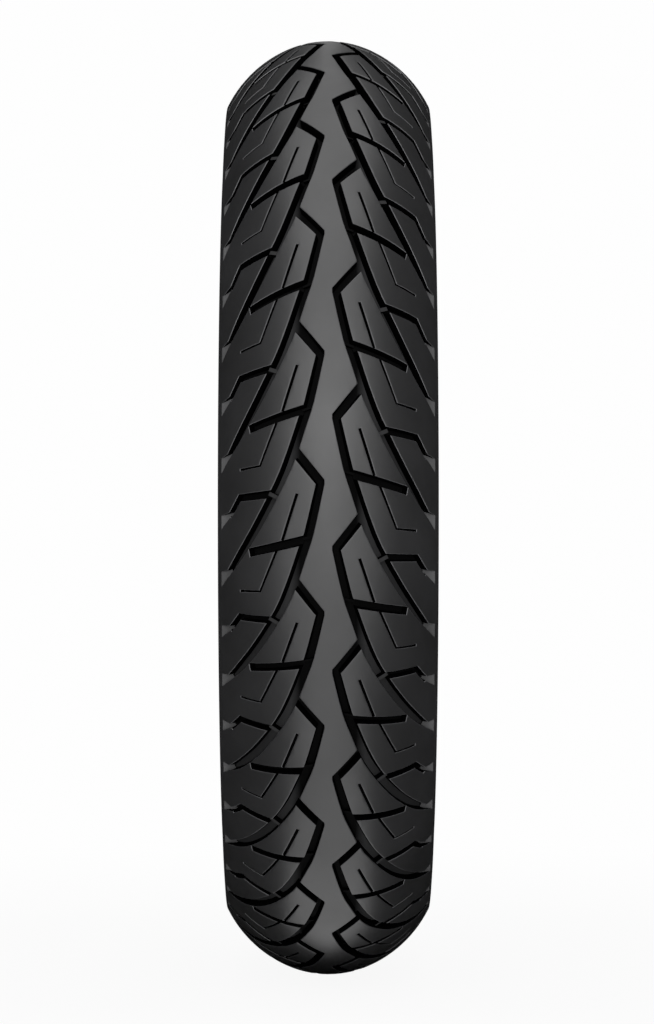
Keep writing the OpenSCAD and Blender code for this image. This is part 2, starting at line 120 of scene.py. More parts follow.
class TireColours(bpy.types.PropertyGroup):
    """Colours of the rubbers, the cloths and the stage; the groove colour is painted shade, the
    groove floor and run-out colours painted light
    """

    tread: colour("Tread", "Rubber of the tread's blocks", (0.022, 0.022, 0.023))
    # Near-black painted shade on the groove walls and floors, where shade falls in the grooves
    groove: colour("Grooves", "Rubber of groove walls and dark floors", (0.0012, 0.0012, 0.0013))
    # Paler floor strip in the long grooves: painted light where light reaches the floor
    groove_floor: colour(
        "Groove floors", "Rubber of the long grooves' floors", (0.034, 0.034, 0.035)
    )
    # Pale ramps where the grooves run out: painted light on lit facets of the same rubber as the
    # blocks
    run_out: colour("Run-outs", "Rubber of the ramps where grooves run out", (0.1, 0.1, 0.102))
    side: colour("Sidewall", "Rubber of the sidewalls", (0.032, 0.032, 0.033))
    liner: colour("Liner", "Rubber of the inner liner", (0.036, 0.036, 0.037))
    bead: colour("Bead", "Rubber round the beads", (0.034, 0.034, 0.035))
    cloth: colour("Carcass cloth", "Cords of the carcass plies", (0.45, 0.38, 0.28))
    breaker: colour("Breaker cloth", "Cords of the breaker plies", (0.55, 0.42, 0.12))
    chafer: colour("Bead cloth", "Woven cloth of the chafers and wraps", (0.30, 0.26, 0.20))
    steel: colour("Bead steel", "Plated wire of the bead cores", (0.62, 0.43, 0.26))
    floor: colour("Floor", "Plain pale floor", (0.86, 0.86, 0.86))


# ---- The tread's section, unrolled: s runs from the middle over the edge and back underneath


def on_arc(centre, radius, angle):
    return (centre[0] + radius * math.sin(angle), centre[1] + radius * math.cos(angle))


def section_of(node):
    """Corners of a turned CAD node's section in order, as (width, radius) in millimetres"""
    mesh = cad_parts[node].data
    corners = {
        v.index: (round(v.co.y / MM, 3), round(v.co.x / MM, 3))
        for v in mesh.vertices
        if abs(v.co.z) < 1e-7 and v.co.x > 0
    }
    links = {}
    for edge in mesh.edges:
        a, b = (corners.get(i) for i in edge.vertices)
        if a and b and a != b:
            links.setdefault(a, set()).add(b)
            links.setdefault(b, set()).add(a)
    start = max(links, key=lambda p: (p[1], -abs(p[0])))
    loop = [start, max(links[start])]
    while len(loop) < len(links):
        loop.append((links[loop[-1]] - {loop[-2]}).pop())
    return loop


class TreadSection:
    """Places on the closed section of the tread by their distance s along it"""

    def __init__(self, sizes):
        self.crown_r = sizes.crown_radius / MM
        self.crown_a = sizes.crown_slope
        self.shoulder_r = sizes.shoulder_radius / MM
        self.edge_a = sizes.edge_slope
        self.round_r = sizes.edge_rounding / MM
        self.deep = sizes.groove_depth / MM
        self.edge_deep = sizes.edge_groove_depth / MM
        self.crown_c = (0.0, OUTER_R - self.crown_r)
        self.shoulder_c = on_arc(self.crown_c, self.crown_r - self.shoulder_r, self.crown_a)
        self.crown_len = self.crown_r * self.crown_a
        self.edge_len = self.crown_len + self.shoulder_r * (self.edge_a - self.crown_a)
        self.edge_c = on_arc(self.shoulder_c, self.shoulder_r - self.round_r, self.edge_a)
        self.round_len = self.round_r * (math.pi / 2 - self.edge_a)
        base = section_of("tread_base")
        foot = min(range(len(base)), key=lambda i: base[i][1] if base[i][0] > 0 else OUTER_R)
        self.corners = [on_arc(self.edge_c, self.round_r, math.pi / 2)] + base[foot::-1]
        self.corner_s = [self.edge_len + self.round_len]
        for a, b in zip(self.corners, self.corners[1:]):
            self.corner_s.append(self.corner_s[-1] + math.dist(a, b))
        self.whole = self.corner_s[-1]

    def place(self, s):
        """Width, radius and slope of the outside at s"""
        if s <= self.crown_len:
            a = s / self.crown_r
            return (*on_arc(self.crown_c, self.crown_r, a), a)
        if s <= self.edge_len:
            a = self.crown_a + (s - self.crown_len) / self.shoulder_r
            return (*on_arc(self.shoulder_c, self.shoulder_r, a), a)
        if s <= self.corner_s[0]:
            a = self.edge_a + (s - self.edge_len) / self.round_r
            return (*on_arc(self.edge_c, self.round_r, a), a)
        i = next((i for i, c in enumerate(self.corner_s) if c >= s), len(self.corner_s) - 1)
        a, b = self.corners[i - 1], self.corners[i]
        f = (s - self.corner_s[i - 1]) / (self.corner_s[i] - self.corner_s[i - 1])
        return (a[0] + f * (b[0] - a[0]), a[1] + f * (b[1] - a[1]), math.pi / 2)

    def share(self, s):
        """Share of the full groove depth that is left at s"""
        full_until, fades_over = 20, 55
        faded = min(1, max(0, (s - full_until) / fades_over))
        return 1 + faded * (self.edge_deep / self.deep - 1)


# ---- Small tools that model as by hand


def deselect():
    if bpy.context.object and bpy.context.object.mode != "OBJECT":
        bpy.ops.object.mode_set(mode="OBJECT")
    bpy.ops.object.select_all(action="DESELECT")


def pick(piece):
    deselect()
    bpy.context.view_layer.objects.active = piece
    piece.select_set(True)


def edit(piece, mode="VERT"):
    pick(piece)
    bpy.ops.object.mode_set(mode="EDIT")
    bpy.ops.mesh.select_mode(type=mode)


def select_where(piece, mode, wanted):
    """Selects the vertices, edges or faces of a piece that pass a test, and opens edit mode"""
    edit(piece, mode)
    bpy.ops.mesh.select_all(action="DESELECT")
    bpy.ops.object.mode_set(mode="OBJECT")
    mesh = piece.data
    parts = {"VERT": mesh.vertices, "EDGE": mesh.edges, "FACE": mesh.polygons}[mode]
    for part in [part for part in parts if wanted(part)]:
        part.select = True
    bpy.ops.object.mode_set(mode="EDIT")


def draw_outline(name, points):
    """A closed outline, drawn corner by corner from one vertex; left in edit mode"""
    deselect()
    bpy.ops.mesh.primitive_plane_add(size=1, location=(0, 0, 0))
    piece = bpy.context.object
    piece.name = piece.data.name = name
    bpy.ops.object.mode_set(mode="EDIT")
    bpy.ops.mesh.select_mode(type="VERT")
    bpy.ops.mesh.merge(type="CENTER")
    bpy.ops.transform.translate(value=points[0])
    for a, b in zip(points, points[1:]):
        step = tuple(q - p for p, q in zip(a, b))
        bpy.ops.mesh.extrude_vertices_move(TRANSFORM_OT_translate={"value": step})
    bpy.ops.mesh.select_all(action="SELECT")
    return piece


def apply_modifier(piece, kind, **settings):
    modifier = piece.modifiers.new(kind.title(), kind)
    for key, value in settings.items():
        setattr(modifier, key, value)
    pick(piece)
    bpy.ops.object.modifier_apply(modifier=modifier.name)


def finish_piece(piece, slot, materials, *nodes, smooth=40):
    """Shading, materials and place in the frame of a finished piece"""
    pick(piece)
    bpy.ops.object.shade_smooth_by_angle(angle=math.radians(smooth))
    apply_modifier(piece, "WEIGHTED_NORMAL", keep_sharp=True)
    for material in materials:
        if material.name not in piece.data.materials:
            piece.data.materials.append(material)
    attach(piece, "root")
    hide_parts(*nodes)


# ---- Materials


def put(tree, kind, inputs=None, **settings):
    """A new node, its settings, and its inputs as values or as links from other sockets"""
    made = tree.nodes.new(kind)
    for key, value in settings.items():
        setattr(made, key, value)
    for key, value in (inputs or {}).items():
        if isinstance(value, bpy.types.NodeSocket):
            tree.links.new(value, made.inputs[key])
        else:
            made.inputs[key].default_value = value
    return made


def maths(tree, operation, a, b=0.0):
    return put(tree, "ShaderNodeMath", {0: a, 1: b}, operation=operation).outputs[0]


def remap(tree, value, low, high, to_low=0.0, to_high=1.0):
    inputs = {
        "Value": value, "From Min": low, "From Max": high, "To Min": to_low, "To Max": to_high,
    }
    return put(tree, "ShaderNodeMapRange", inputs).outputs[0]


def noise(tree, place, scale, detail=2.0, roughness=0.5):
    inputs = {"Vector": place, "Scale": scale, "Detail": detail, "Roughness": roughness}
    return put(tree, "ShaderNodeTexNoise", inputs).outputs["Fac"]


def blend_colours(tree, share, a, b):
    made = put(tree, "ShaderNodeMix", data_type="RGBA")
    for socket, value in ((0, share), (6, a), (7, b)):
        if isinstance(value, bpy.types.NodeSocket):
            tree.links.new(value, made.inputs[socket])
        else:
            made.inputs[socket].default_value = value
    return made.outputs[2]


def opaque(rgb, strength=1.0):
    return (*(c * strength for c in rgb), 1.0)


def group(name, inputs, outputs):
    """An empty shader node group with its own sockets"""
    tree = bpy.data.node_groups.new(name, "ShaderNodeTree")
    for socket in inputs:
        tree.interface.new_socket(socket, in_out="INPUT", socket_type="NodeSocketFloat")
    for socket in outputs:
        tree.interface.new_socket(socket, in_out="OUTPUT", socket_type="NodeSocketFloat")
    return tree, tree.nodes.new("NodeGroupInput"), tree.nodes.new("NodeGroupOutput")


def grain_group():
    """Fine moulded grain and broad cloudy tone, for every rubber"""
    if "Rubber Grain" in bpy.data.node_groups:
        return bpy.data.node_groups["Rubber Grain"]
    tree, given, made = group("Rubber Grain", ["Grain Size", "Cloud Size"], ["Height", "Tone"])
    place = put(tree, "ShaderNodeTexCoord").outputs["Object"]
    fine = noise(tree, place, maths(tree, "DIVIDE", 1.0, given.outputs["Grain Size"]), 3.0, 0.6)
    broad = noise(tree, place, maths(tree, "DIVIDE", 1.0, given.outputs["Cloud Size"]), 3.0, 0.55)
    tree.links.new(fine, made.inputs["Height"])
    tree.links.new(remap(tree, broad, 0.3, 0.7), made.inputs["Tone"])
    return tree


def cord_group():
    """Parallel cords laid at a slant on the turned layers, and the shade between them"""
    if "Ply Cords" in bpy.data.node_groups:
        return bpy.data.node_groups["Ply Cords"]
    tree, given, made = group("Ply Cords", ["Cord Gap", "Slant"], ["Height", "Shade"])
    place = put(tree, "ShaderNodeTexCoord").outputs["Object"]
    axes = put(tree, "ShaderNodeSeparateXYZ", {0: place}).outputs
    turn = maths(tree, "ARCTAN2", axes["Z"], axes["X"])
    round_way = maths(tree, "MULTIPLY", turn, OUTER_R * MM)
    slanted = maths(tree, "MULTIPLY", axes["Y"], given.outputs["Slant"])
    across = maths(
        tree, "DIVIDE", maths(tree, "ADD", round_way, slanted), given.outputs["Cord Gap"]
    )
    wave = maths(tree, "SINE", maths(tree, "MULTIPLY", across, 2 * math.pi))
    tree.links.new(wave, made.inputs["Height"])
    tree.links.new(remap(tree, wave, -1.0, 0.6), made.inputs["Shade"])
    return tree


def new_material(name):
    material = bpy.data.materials.new(name)
    material.use_nodes = True
    tree = material.node_tree
    return material, tree, tree.nodes["Principled BSDF"]


def rubber(name, base, grain, bump, rough, specular):
    """Moulded rubber: grain in the normal, and cloudy tone in colour and roughness"""
    cloud_size, clouded, uneven = 0.05, 0.25, 0.03
    material, tree, shader = new_material(name)
    grained = put(tree, "ShaderNodeGroup", node_tree=grain_group())
    grained.inputs["Grain Size"].default_value = grain
    grained.inputs["Cloud Size"].default_value = cloud_size
    tone = grained.outputs["Tone"]
    colours = blend_colours(tree, tone, opaque(base, 1 - clouded), opaque(base, 1 + clouded))
    tree.links.new(colours, shader.inputs["Base Color"])
    tree.links.new(
        remap(tree, tone, 0, 1, rough + uneven, rough - uneven), shader.inputs["Roughness"]
    )
    bumped = put(
        tree, "ShaderNodeBump",
        {"Height": grained.outputs["Height"], "Strength": bump, "Distance": grain * 0.25},
    )
    tree.links.new(bumped.outputs[0], shader.inputs["Normal"])
    shader.inputs["Specular IOR Level"].default_value = specular
    return material, tree, shader, colours


def cloth(name, base, cord_gap, slant):
    """Rubbered cord cloth: slanted cords with rubber between them"""
    gap_tone, gap_rough, cord_rough = 0.12, 0.8, 0.6
    material, tree, shader = new_material(name)
    cords = put(tree, "ShaderNodeGroup", node_tree=cord_group())
    cords.inputs["Cord Gap"].default_value = cord_gap
    cords.inputs["Slant"].default_value = slant
    shade = cords.outputs["Shade"]
    colours = blend_colours(tree, shade, opaque(base, gap_tone), opaque(base))
    tree.links.new(colours, shader.inputs["Base Color"])
    tree.links.new(remap(tree, shade, 0, 1, gap_rough, cord_rough), shader.inputs["Roughness"])
    bumped = put(
        tree, "ShaderNodeBump",
        {"Height": cords.outputs["Height"], "Strength": 0.6, "Distance": cord_gap * 0.25},
    )
    tree.links.new(bumped.outputs[0], shader.inputs["Normal"])
    shader.inputs["Specular IOR Level"].default_value = 0.3
    return material


def sidewards(tree):
    """Distance from the middle plane, in metres, and how far the surface looks away from it"""
    coordinates = put(tree, "ShaderNodeTexCoord").outputs
    across = put(tree, "ShaderNodeSeparateXYZ", {0: coordinates["Object"]}).outputs["Y"]
    facing = put(tree, "ShaderNodeSeparateXYZ", {0: coordinates["Normal"]}).outputs["Y"]
    distance = maths(tree, "ABSOLUTE", across)
    return distance, maths(tree, "MULTIPLY", facing, maths(tree, "SIGN", across))


def block_rubber(colours):
    """Rubber of the blocks, with a painted highlight on the rounded edges, brightest on those that
    face the middle
    """
    material, tree, shader, toned = rubber(
        "patterned_rubber", colours.tread, grain=0.0009, bump=0.2, rough=0.42, specular=1.0
    )
    depth = put(tree, "ShaderNodeAttribute", attribute_name="depth").outputs["Fac"]
    # Mask of the rounded block edges, found by depth, that carries the painted highlight
    edge_starts, edge_ends = (0.0, 0.15), (0.6, 0.3)
    highlight_edges = maths(
        tree, "MULTIPLY", remap(tree, depth, *edge_starts), remap(tree, depth, *edge_ends)
    )
    distance, away = sidewards(tree)
    # Edges towards the shoulders that face the middle get the strongest painted highlight
    to_shoulder, faces_middle = (0.02, 0.045), (0.5, 0.15)
    catches_highlight = maths(
        tree, "MULTIPLY", remap(tree, distance, *to_shoulder, 0.1, 1.0),
        remap(tree, away, *faces_middle),
    )
    # Painted highlight: every rounded edge a little lighter, those that catch the highlight much
    # lighter
    every_edge, lighter, lightest = 0.3, 3.2, 9.0
    edge = blend_colours(
        tree, maths(tree, "MULTIPLY", highlight_edges, every_edge), toned, opaque(colours.tread, lighter)
    )
    bright = maths(tree, "MULTIPLY", highlight_edges, catches_highlight)
    edge = blend_colours(tree, bright, edge, opaque(colours.tread, lightest))
    tree.links.new(edge, shader.inputs["Base Color"])
    return material


def floor_rubber(colours, deepest):
    """Rubber of the groove floors: painted near-black shade in the middle, and a paler painted lit
    strip outwards in the long grooves
    """
    material, tree, shader, toned = rubber(
        "groove_floors", colours.groove, grain=0.0012, bump=0.3, rough=0.8, specular=0.1
    )
    depth = put(tree, "ShaderNodeAttribute", attribute_name="depth").outputs["Fac"]
    distance = sidewards(tree)[0]
    # Mask of the deepest floor away from the middle, painted lighter as if lit
    leaves_middle, to_shoulder = (0.018, 0.024), (0.024, 0.042)
    lit_floor_strip = maths(
        tree, "MULTIPLY", remap(tree, distance, *leaves_middle),
        remap(tree, depth, deepest - 0.3, deepest - 0.1),
    )
    by_middle, by_shoulder = 1.3, 0.75
    floor_tone = blend_colours(
        tree, remap(tree, distance, *to_shoulder), opaque(colours.groove_floor, by_middle),
        opaque(colours.groove_floor, by_shoulder),
    )
    # The tops of the tie bars take a painted highlight in the run-outs' pale colour
    bar_depths, bar_share = (3.1, 2.8), 0.35
    bar_top_highlight = remap(tree, depth, *bar_depths, 0.0, bar_share)
    paler = blend_colours(tree, lit_floor_strip, toned, floor_tone)
    paler = blend_colours(tree, bar_top_highlight, paler, opaque(colours.run_out))
    tree.links.new(paler, shader.inputs["Base Color"])
    return material


def tread_materials(deepest):
    """Rubber of the blocks, the groove walls, the groove floors and the run-outs, with painted
    light and shade
    """
    colours = bpy.context.scene.tire_colours
    blocks = block_rubber(colours)
    # Groove walls: near-black painted shade, matte and without gloss
    walls = rubber(
        "groove_walls", colours.groove, grain=0.0012, bump=0.3, rough=0.9, specular=0.0
    )[0]
    floors = floor_rubber(colours, deepest)
    # Run-out ramps: a pale colour as painted light
    run_outs = rubber(
        "run_out_rubber", colours.run_out, grain=0.0009, bump=0.25, rough=0.5, specular=0.8
    )[0]
    return blocks, walls, floors, run_outs


# ---- Tread


def smooth_path(points, cuts=3):
    """Points along a smooth curve through the given ones"""
    ends = [points[0], *points, points[-1]]
    path = []
    for a, b, c, d in zip(ends, ends[1:], ends[2:], ends[3:]):
        for k in range(cuts):
            t = k / cuts
            path.append(tuple(
                0.5 * (2 * q + (r - p) * t + (2 * p - 5 * q + 4 * r - u) * t * t
                       + (3 * q - p - 3 * r + u) * t ** 3)
                for p, q, r, u in zip(a, b, c, d)
            ))
    return [*path, points[-1]]


def stroke(path, repeat):
    """Outline of a groove of some width along points of (s, repeats, width)"""
    left, right = [], []
    for i, (s, t, width) in enumerate(path):
        a, b = path[max(0, i - 1)], path[min(len(path) - 1, i + 1)]
        run = Vector((b[0] - a[0], (b[1] - a[1]) * repeat)).normalized() * width / 2
        left.append((s - run.y, t + run.x / repeat))
        right.append((s + run.y, t - run.x / repeat))
    return left + right[::-1]


def long_groove():
    """Outline of the zigzag by the middle that runs on to the shoulder, as (s, repeats)"""
    inner = [
        (2.55, 0.02), (9.15, 0.38), (14.45, 0.58), (24.1, 0.9), (42.6, 1.3), (60.8, 1.6),
        (75.4, 1.78),
    ]
    outer = [
        (8.05, 0.02), (15.4, 0.38), (18.8, 0.485), (27.05, 0.76), (35.9, 1.0), (51, 1.3),
        (62.6, 1.5), (77.5, 1.735),
    ]
    arm_start, arm_end = [(21.4, -0.2923), (2.55, -0.014)], [(24.9, -0.2198)]
    return arm_start + smooth_path(inner) + smooth_path(outer)[::-1] + arm_end


def cutter(name, outline, repeat, depth, draft):
    """A tool with the outline of a groove, sunk from above the slab, in a row of repeats"""
    first_of_row, row, above = -2, 4, 2.0
    points = [(s, (t + first_of_row) * repeat, above) for s, t in outline]
    tool = draw_outline(name, points)
    bpy.ops.mesh.edge_face_add()
    bpy.ops.mesh.extrude_region_move(TRANSFORM_OT_translate={"value": (0, 0, -above)})
    bpy.ops.object.mode_set(mode="OBJECT")
    edit(tool, "FACE")
    bpy.ops.mesh.select_all(action="SELECT")
    bpy.ops.mesh.normals_make_consistent(inside=False)
    select_where(tool, "FACE", lambda f: f.center.z < 0.01 and abs(f.normal.z) > 0.9)
    bpy.ops.mesh.inset(thickness=draft, depth=depth, use_even_offset=True)
    bpy.ops.object.mode_set(mode="OBJECT")
    apply_modifier(
        tool, "ARRAY", count=row, use_relative_offset=False, use_constant_offset=True,
        constant_offset_displace=(0, repeat, 0),
    )
    return tool


def ramp(name, outline, repeat, depth):
    """A tool whose floor rises from a groove's floor to the surface at the tread's edge"""
    draft, rising = 0.01, 1.5
    tool = cutter(name, outline, repeat, depth, draft)
    end = max(s for s, t in outline)
    select_where(tool, "VERT", lambda v: v.co.z < -1 and v.co.x > end - rising)
    bpy.ops.transform.translate(value=(0, 0, depth))
    bpy.ops.object.mode_set(mode="OBJECT")
    return tool


def tie_bar(s, t, turn, width, top):
    """A low block that stands across a groove on its floor"""
    foot, reach = -9, 9.5
    deselect()
    bpy.ops.mesh.primitive_cube_add(
        size=1, location=(s, t, (top + foot) / 2), rotation=(0, 0, math.radians(turn)),
        scale=(reach, width, top - foot),
    )
    return bpy.context.object


def combine(slab, tool, operation):
    apply_modifier(
        slab, "BOOLEAN", operation=operation, object=tool, solver="EXACT", use_self=True
    )
    bpy.data.objects.remove(tool)


def flat_tread(section, sizes, repeat):
    """One repeat of the pattern on the unrolled section, in millimetres"""
    deselect()
    bpy.ops.mesh.primitive_cube_add(
        size=1, location=(section.whole / 2, repeat / 2, -SLAB_DEPTH / 2),
        scale=(section.whole, (1 + 2 * SPARE_REPEATS) * repeat, SLAB_DEPTH),
    )
    slab = bpy.context.object
    slab.name = "flat_tread"
    bpy.ops.object.transform_apply(location=True, rotation=True, scale=True)
    deep, sipe = section.deep, sizes.sipe_depth / MM
    branch_deep, shoulder_deep = deep - 0.8, deep - 0.4
    draft, sipe_draft = sizes.groove_draft / MM, 0.25
    branch = [(13.6, 0.438, 5.9), (55.8, 0.561, 5.9)]
    shoulder = [(38.2, 0.0905, 5.3), (64.8, 0.118, 5.3), (70, 0.2, 4.4), (74.8, 0.268, 4.3)]
    middle_sipe = [(20.3, 0.09, 1.8), (30.4, 0.45, 1.8)]
    bent_sipe = [(34.4, 0.53, 1.6), (46.9, 0.865, 1.6), (64, 0.887, 1.6)]
    grooves = {
        "zigzag": (long_groove(), deep, draft),
        "branch": (stroke(branch, repeat), branch_deep, draft),
        "shoulder": (stroke(shoulder, repeat), shoulder_deep, draft),
        "middle_sipe": (stroke(middle_sipe, repeat), sipe, sipe_draft),
        "bent_sipe": (stroke(bent_sipe, repeat), sipe, sipe_draft),
    }
    for name, (outline, depth, lean) in grooves.items():
        combine(slab, cutter(name, outline, repeat, depth, lean), "DIFFERENCE")
    long_ramp = [(75.2, 0.725), (85.2, 0.765), (85.2, 0.895), (75.2, 0.775)]
    short_ramp = [(74.2, 0.235), (85.1, 0.27), (85.2, 0.385), (74.2, 0.278)]
    for name, outline in (("long_ramp", long_ramp), ("short_ramp", short_ramp)):
        combine(slab, ramp(name, outline, repeat, shoulder_deep), "DIFFERENCE")
    branch_bar, shoulder_bar = (13.2, 0.425, 15.6, 1.6, -4.6), (36.9, 1.108, -24.2, 2.6, -2.6)
    for s, t, turn, width, top in (branch_bar, shoulder_bar):
        for k in (-1, 0):
            combine(slab, tie_bar(s, (t + k) * repeat, turn, width, top), "UNION")
    return slab


def keep_outside(slab, section, repeat):
    """Deletes the underside and the cut ends of the slab, and cleans the rest"""
    mesh = slab.data
    spare = SPARE_REPEATS * repeat
    near = 0.001

    def hidden(face):
        corners = [mesh.vertices[i].co for i in face.vertices]
        s, t, z = ([corner[k] for corner in corners] for k in range(3))
        return (
            max(z) < 0.1 - SLAB_DEPTH or max(s) < near or min(s) > section.whole - near
            or max(t) < near - spare or min(t) > repeat + spare - near
        )

    select_where(slab, "FACE", hidden)
    bpy.ops.mesh.delete(type="FACE")
    bpy.ops.mesh.select_all(action="SELECT")
    bpy.ops.mesh.remove_doubles(threshold=0.02)
    bpy.ops.mesh.dissolve_limited(angle_limit=math.radians(0.6), use_dissolve_boundaries=False)
    bpy.ops.object.mode_set(mode="OBJECT")


def round_blocks(slab, rounding):
    """Rounds the rims of all grooves; leaves the slab in edit mode"""
    shape = bmesh.new()
    shape.from_mesh(slab.data)
    rims = {
        frozenset(v.index for v in e.verts)
        for e in shape.edges
        if len(e.link_faces) == 2
        and all(abs(v.co.z) < 1e-3 for v in e.verts)
        and e.calc_face_angle(0) > math.radians(20)
    }
    shape.free()
    select_where(slab, "EDGE", lambda e: frozenset(e.vertices) in rims)
    bpy.ops.mesh.bevel(
        offset=rounding, offset_type="OFFSET", segments=2, affect="EDGES", clamp_overlap=False
    )
    bpy.ops.mesh.select_all(action="SELECT")
    bpy.ops.mesh.remove_doubles(threshold=0.03)


def cut(place, normal, inner=False, outer=False):
    """Cuts the piece in edit mode along a plane, and marks the cut as a seam"""
    bpy.ops.mesh.select_all(action="SELECT")
    bpy.ops.mesh.bisect(
        plane_co=place, plane_no=normal, clear_inner=inner, clear_outer=outer, threshold=1e-4
    )
    bpy.ops.mesh.mark_seam(clear=False)


def lay_rows(section, repeat):
    """Trims the slab in edit mode to one repeat, and cuts it in rows so that it can bend"""
    rows, columns = 16, 20
    along, across = (0, 1, 0), (1, 0, 0)
    cut((0, 0, 0), along, inner=True)
    cut((0, repeat, 0), along, outer=True)
    for k in range(1, rows):
        cut((0, repeat * k / rows, 0), along)
    lines = [section.edge_len * k / columns for k in range(1, columns + 1)]
    for s in lines + [section.edge_len + section.round_len / 2] + section.corner_s[:-1]:
        cut((s, 0, 0), across)
    bpy.ops.mesh.select_all(action="SELECT")
    bpy.ops.mesh.remove_doubles(threshold=0.01)
    bpy.ops.mesh.dissolve_limited(
        angle_limit=math.radians(0.5), use_dissolve_boundaries=False, delimit={"SEAM"}
    )
    bpy.ops.object.mode_set(mode="OBJECT")


def match_ends(mesh, repeat):
    """Moves the corners at the end of the repeat to those at its start, so that copies merge"""
    starts = [v.co for v in mesh.vertices if abs(v.co.y) < 1e-3]
    for end in (v.co for v in mesh.vertices if abs(v.co.y - repeat) < 1e-3):
        start = min(starts, key=lambda co: math.hypot(co.x - end.x, co.z - end.z))
        end.x, end.z = start.x, start.z


def lay_rubbers(mesh, rounding, finishes):
    """Gives each face the rubber of the blocks, walls, floors or run-outs, by its place; walls
    carry painted shade, floors painted shade with a painted lit strip, run-outs painted light
    """
    walls, floors, run_outs = 1, 2, 3
    for finish in finishes:
        mesh.materials.append(finish)
    for face in mesh.polygons:
        heights = [mesh.vertices[i].co.z for i in face.vertices]
        if max(heights) < -0.5 * rounding:
            face.material_index = floors if face.normal.z > 0.9 else walls
        place, rise = face.center, face.normal.z
        if place.x > RAMPS_FROM and place.z < -0.1 and 0.6 < rise < 0.97:
            face.material_index = run_outs


def start_of(i, starts):
    """Turn, in radians, at which half repeat i starts"""
    return 2 * math.pi * (i // (len(starts) - 1)) + starts[i % (len(starts) - 1)]


def wrap(flat, i, section, repeat, starts):
    """A copy of the flat repeat, laid round the tire as half repeat i, with its depths noted"""
    piece = flat.copy()
    piece.data = flat.data.copy()
    bpy.context.collection.objects.link(piece)
    side = 1 if i % 2 == 0 else -1
    depths = []
    for vertex in piece.data.vertices:
        s, t, z = vertex.co
        width, radius, slant = section.place(s)
        depths.append(-z)
        z *= section.share(s)
        width, radius = width + z * math.sin(slant), radius + z * math.cos(slant)
        first, last = start_of(i, starts), start_of(i + 2, starts)
        a = FIRST_START - first - (last - first) * t / repeat
        vertex.co = Vector((radius * math.cos(a), side * width, radius * math.sin(a))) * MM
    piece.data.attributes.new("depth", "FLOAT", "POINT").data.foreach_set("value", depths)
    return piece


def join(pieces, name):
    deselect()
    for piece in pieces:
        piece.select_set(True)
    bpy.context.view_layer.objects.active = pieces[0]
    bpy.ops.object.join()
    pieces[0].name = pieces[0].data.name = name
    return pieces[0]


def seam_edges(shape, radius):
    """Open edges on the middle line at about that radius, each with its first corner and turns"""
    found = []
    for edge in shape.edges:
        if len(edge.link_faces) == 1 and all(
            abs(v.co.y) < 1e-6 and abs(math.hypot(v.co.x, v.co.z) - radius) < 0.002
            for v in edge.verts
        ):
            a, b = sorted(edge.verts, key=lambda v: math.atan2(v.co.z, v.co.x))
            low, high = (math.atan2(v.co.z, v.co.x) for v in (a, b))
            if high - low > math.pi:
                a, b, low, high = b, a, high, low + 2 * math.pi
            found.append((edge, a, low, high))
    return found


def match_sides(sides, radii):
    """Gives both sides the same corners along the middle line, so that they merge"""
    shapes = []
    for side in sides:
        shape = bmesh.new()
        shape.from_mesh(side.data)
        shapes.append(shape)
    for radius in radii:
        seams = [seam_edges(shape, radius) for shape in shapes]
        turns = [sorted(low for edge, a, low, high in seam) for seam in seams]
        for shape, seam, others in zip(shapes, seams, turns[::-1]):
            for edge, a, low, high in seam:
                inside = [
                    t + k for t in others for k in (0, 2 * math.pi)
                    if low + 1e-5 < t + k < high - 1e-5
                ]
                for t in sorted(inside):
                    edge, a = bmesh.utils.edge_split(edge, a, (t - low) / (high - low))
                    a.co = (radius * math.cos(t), 0, radius * math.sin(t))
                    low = t
                    edge = next(e for e in a.link_edges if len(e.link_faces) == 1 and e is not edge)
    for side, shape in zip(sides, shapes):
        shape.to_mesh(side.data)
        shape.free()


class TIRE_OT_tread(bpy.types.Operator):
    """Model the patterned tread: one flat repeat, cut, rounded and wrapped round both sides"""

    bl_idname = "tire.tread"
    bl_label = "Patterned Tread"

    def execute(self, context):
        sizes = context.scene.tire_sizes
        section = TreadSection(sizes)
        count = len(PITCH_ORDER)
        repeat = 2 * math.pi * OUTER_R / (count / 2)
        lengths = [HALF_PITCHES[k - 1] for k in PITCH_ORDER]
        starts = [2 * math.pi * sum(lengths[:i]) / sum(lengths) for i in range(count + 1)]
        flat = flat_tread(section, sizes, repeat)
        finishes = tread_materials(section.deep)
        rounding = sizes.block_rounding / MM
        keep_outside(flat, section, repeat)
        round_blocks(flat, rounding)
        lay_rows(section, repeat)
        match_ends(flat.data, repeat)
        lay_rubbers(flat.data, rounding, finishes)
        sides = []
        for first in (0, 1):
            copies = [wrap(flat, i, section, repeat, starts) for i in range(first, count, 2)]
            side = join(copies, "tread_side")
            edit(side)
            bpy.ops.mesh.select_all(action="SELECT")
            bpy.ops.mesh.remove_doubles(threshold=0.02 * MM)
            bpy.ops.object.mode_set(mode="OBJECT")
            sides.append(side)
        bpy.data.objects.remove(flat)
        match_sides(sides, (OUTER_R * MM, section.corners[-1][1] * MM))
        tread = join(sides, "patterned_tread")
        edit(tread)
        bpy.ops.mesh.select_all(action="SELECT")
        bpy.ops.mesh.remove_doubles(threshold=0.02 * MM)
        bpy.ops.mesh.normals_make_consistent(inside=False)
        bpy.ops.mesh.mark_seam(clear=True)
        finish_piece(tread, "tread_rubber", finishes, "tread_cap", smooth=30)
        return {"FINISHED"}


# ---- Turned pieces: sidewalls, wings, beads and liner


def turn_angle(a, b, c):
    """Angle by which a path turns at b, in degrees"""
    ab, bc = Vector(b) - Vector(a), Vector(c) - Vector(b)
    return math.degrees(abs(ab.angle_signed(bc)))


